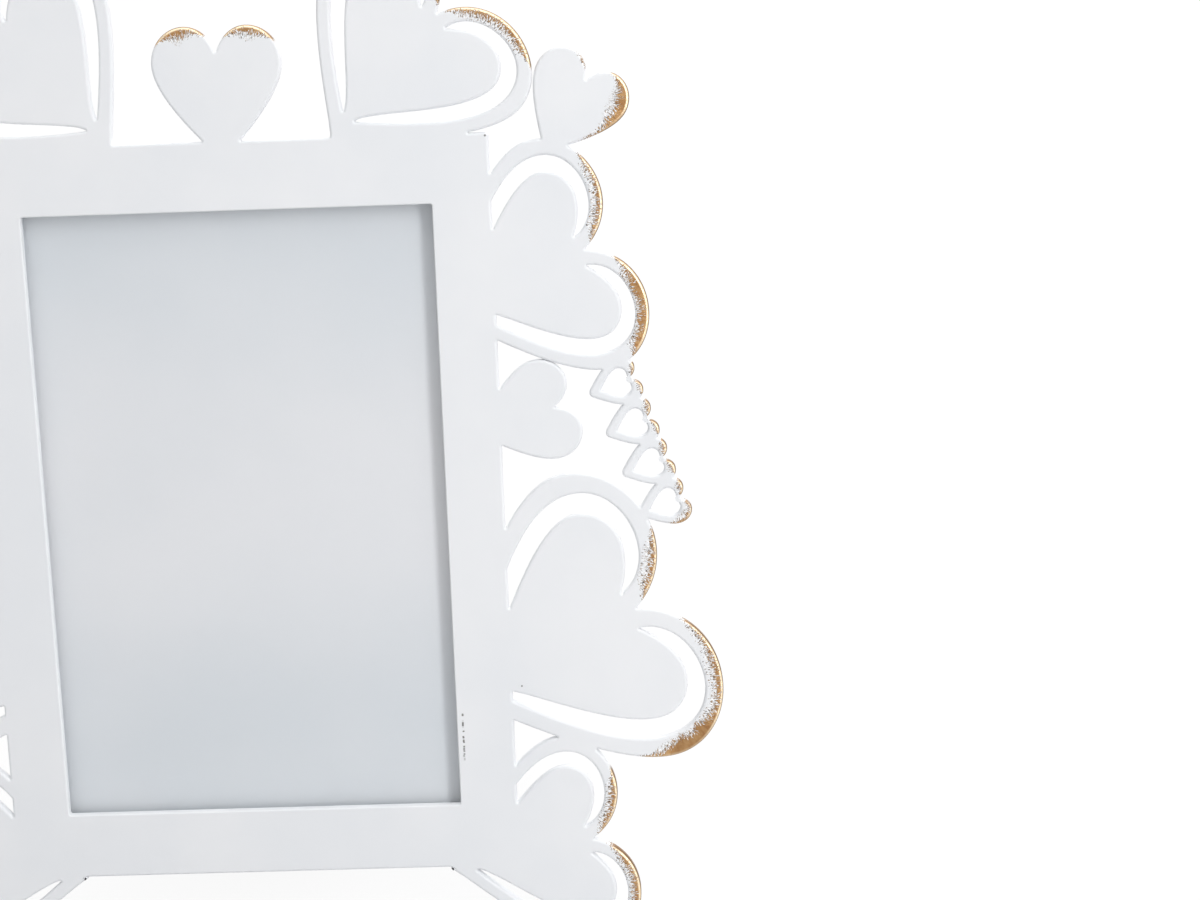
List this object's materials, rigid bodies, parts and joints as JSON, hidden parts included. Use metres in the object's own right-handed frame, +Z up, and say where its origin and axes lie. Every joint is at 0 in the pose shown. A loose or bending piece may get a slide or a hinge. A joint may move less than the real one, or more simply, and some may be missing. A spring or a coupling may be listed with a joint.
{
  "type": "metal picture frame",
  "caption": "Standing metal picture frame: a white steel plate cut into a border of openwork hearts round a portrait window, with glass, back board and folding easel leg.",
  "frame": {"origin": "middle of the frame's footprint, on the table it stands on", "axes": "+Z up; the picture faces -Y and leans back from the table; +X is to the right of someone looking at the picture"},
  "size_m": [0.2252, 0.09, 0.2393],
  "materials": {
    "white_paint": "off-white satin paint on cut and folded sheet steel, outer edges dry-brushed with antique gold",
    "glass": "clear float glass",
    "insert_paper": "plain coated paper, unprinted",
    "grey_card": "grey chipboard filler",
    "flocked_board": "thin fibreboard, flocked black",
    "zinc_steel": "pressed steel, bright zinc plated"
  },
  "bodies": {
    "frame": {"front_plate": "white_paint", "glass_pane": "glass", "blank_insert": "insert_paper", "filler_card": "grey_card", "back_board": "flocked_board", "rail_bottom": "white_paint", "rail_top": "white_paint", "rail_right": "white_paint", "rail_left": "white_paint", "button_rivet_upper_right": "zinc_steel", "button_rivet_upper_left": "zinc_steel", "button_rivet_lower_right": "zinc_steel", "button_rivet_lower_left": "zinc_steel", "hinge_fixed_leaf": "zinc_steel", "hinge_pin": "zinc_steel", "board_rivet_left": "zinc_steel", "board_rivet_right": "zinc_steel", "hanger_strap": "zinc_steel", "strap_rivet_upper": "zinc_steel", "strap_rivet_lower": "zinc_steel"},
    "leg": {"easel_leg": "flocked_board", "hinge_moving_leaf": "zinc_steel", "leg_rivet_upper": "zinc_steel", "leg_rivet_lower": "zinc_steel"},
    "button_upper_right": {"turn_button_upper_right": "zinc_steel"},
    "button_upper_left": {"turn_button_upper_left": "zinc_steel"},
    "button_lower_right": {"turn_button_lower_right": "zinc_steel"},
    "button_lower_left": {"turn_button_lower_left": "zinc_steel"},
    "ring": {"hanger_ring": "zinc_steel"}
  },
  "joints": [
    {"name": "leg_fold", "type": "hinge", "parent": "frame", "child": "leg", "pos_m": [0, 0.00107, 0.13184], "axis": [1, 0, 0], "range_deg": [-32, 0]},
    {"name": "button_upper_right_turn", "type": "hinge", "parent": "frame", "child": "button_upper_right", "pos_m": [0.056, -0.00809, 0.14804], "axis": [0, 0.9703, -0.2419], "range_deg": [-90, 90]},
    {"name": "button_upper_left_turn", "type": "hinge", "parent": "frame", "child": "button_upper_left", "pos_m": [-0.056, -0.00809, 0.14804], "axis": [0, 0.9703, -0.2419], "range_deg": [-90, 90]},
    {"name": "button_lower_right_turn", "type": "hinge", "parent": "frame", "child": "button_lower_right", "pos_m": [0.056, -0.02865, 0.06556], "axis": [0, 0.9703, -0.2419], "range_deg": [-90, 90]},
    {"name": "button_lower_left_turn", "type": "hinge", "parent": "frame", "child": "button_lower_left", "pos_m": [-0.056, -0.02865, 0.06556], "axis": [0, 0.9703, -0.2419], "range_deg": [-90, 90]},
    {"name": "ring_swing", "type": "hinge", "parent": "frame", "child": "ring", "pos_m": [0, 0.01099, 0.17162], "axis": [1, 0, 0], "range_deg": [-14, 165]}
  ]
}
